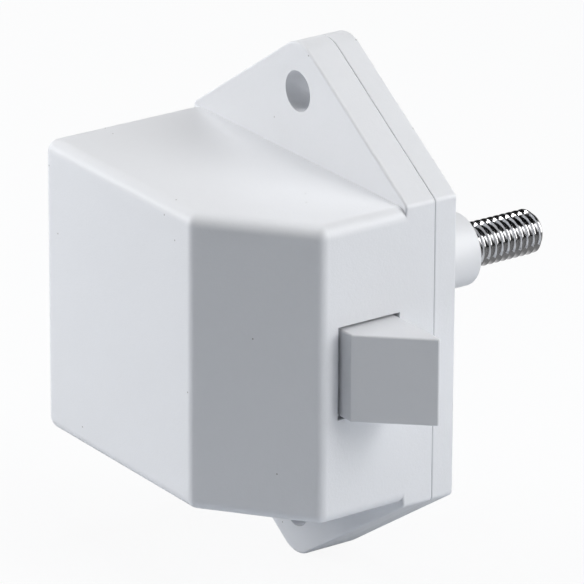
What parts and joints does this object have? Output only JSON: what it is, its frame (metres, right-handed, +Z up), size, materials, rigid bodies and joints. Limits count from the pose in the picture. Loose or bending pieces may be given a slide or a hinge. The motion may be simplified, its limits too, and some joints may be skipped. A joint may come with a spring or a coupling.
{
  "type": "touch latch",
  "caption": "Push-button door latch: white moulded case with ears, front plate, bevelled sprung bolt and a plunger ending in a threaded steel stud.",
  "frame": {"origin": "midway between the two screw holes, on the face that lies against the door", "axes": "+X the way the bolt shoots, +Y out through the door along the plunger, +Z up, from ear to ear"},
  "size_m": [0.0551, 0.0621, 0.0684],
  "materials": {
    "case_plastic": "white, finely spark-eroded moulding",
    "plunger_plastic": "white, smooth moulding",
    "bolt_plastic": "white, smooth moulding",
    "yoke_plastic": "natural white, smooth moulding",
    "stud_steel": "bright stainless steel, rolled thread",
    "spring_steel": "plain drawn wire"
  },
  "bodies": {
    "case": {"case": "case_plastic", "front_plate": "case_plastic", "plunger_spring": "spring_steel", "follower_wire": "spring_steel"},
    "plunger": {"plunger": "plunger_plastic", "threaded_stud": "stud_steel"},
    "yoke": {"drive_yoke": "yoke_plastic", "bolt_spring": "spring_steel"},
    "bolt": {"latch_bolt": "bolt_plastic"}
  },
  "joints": [
    {"name": "plunger_slide", "type": "slide", "parent": "case", "child": "plunger", "axis": [0, 1, 0], "range_m": [0, 0.0091], "deforming": ["plunger_spring", "follower_wire"]},
    {"name": "yoke_slide", "type": "slide", "parent": "case", "child": "yoke", "axis": [-1, 0, 0], "range_m": [0, 0.0091]},
    {"name": "bolt_press", "type": "slide", "parent": "yoke", "child": "bolt", "axis": [-1, 0, 0], "range_m": [0, 0.00675], "stiffness_N_per_m": 400, "deforming": ["bolt_spring"]}
  ],
  "couplings": [
    {"joint": "yoke_slide", "follows": "plunger_slide", "ratio": 1}
  ]
}
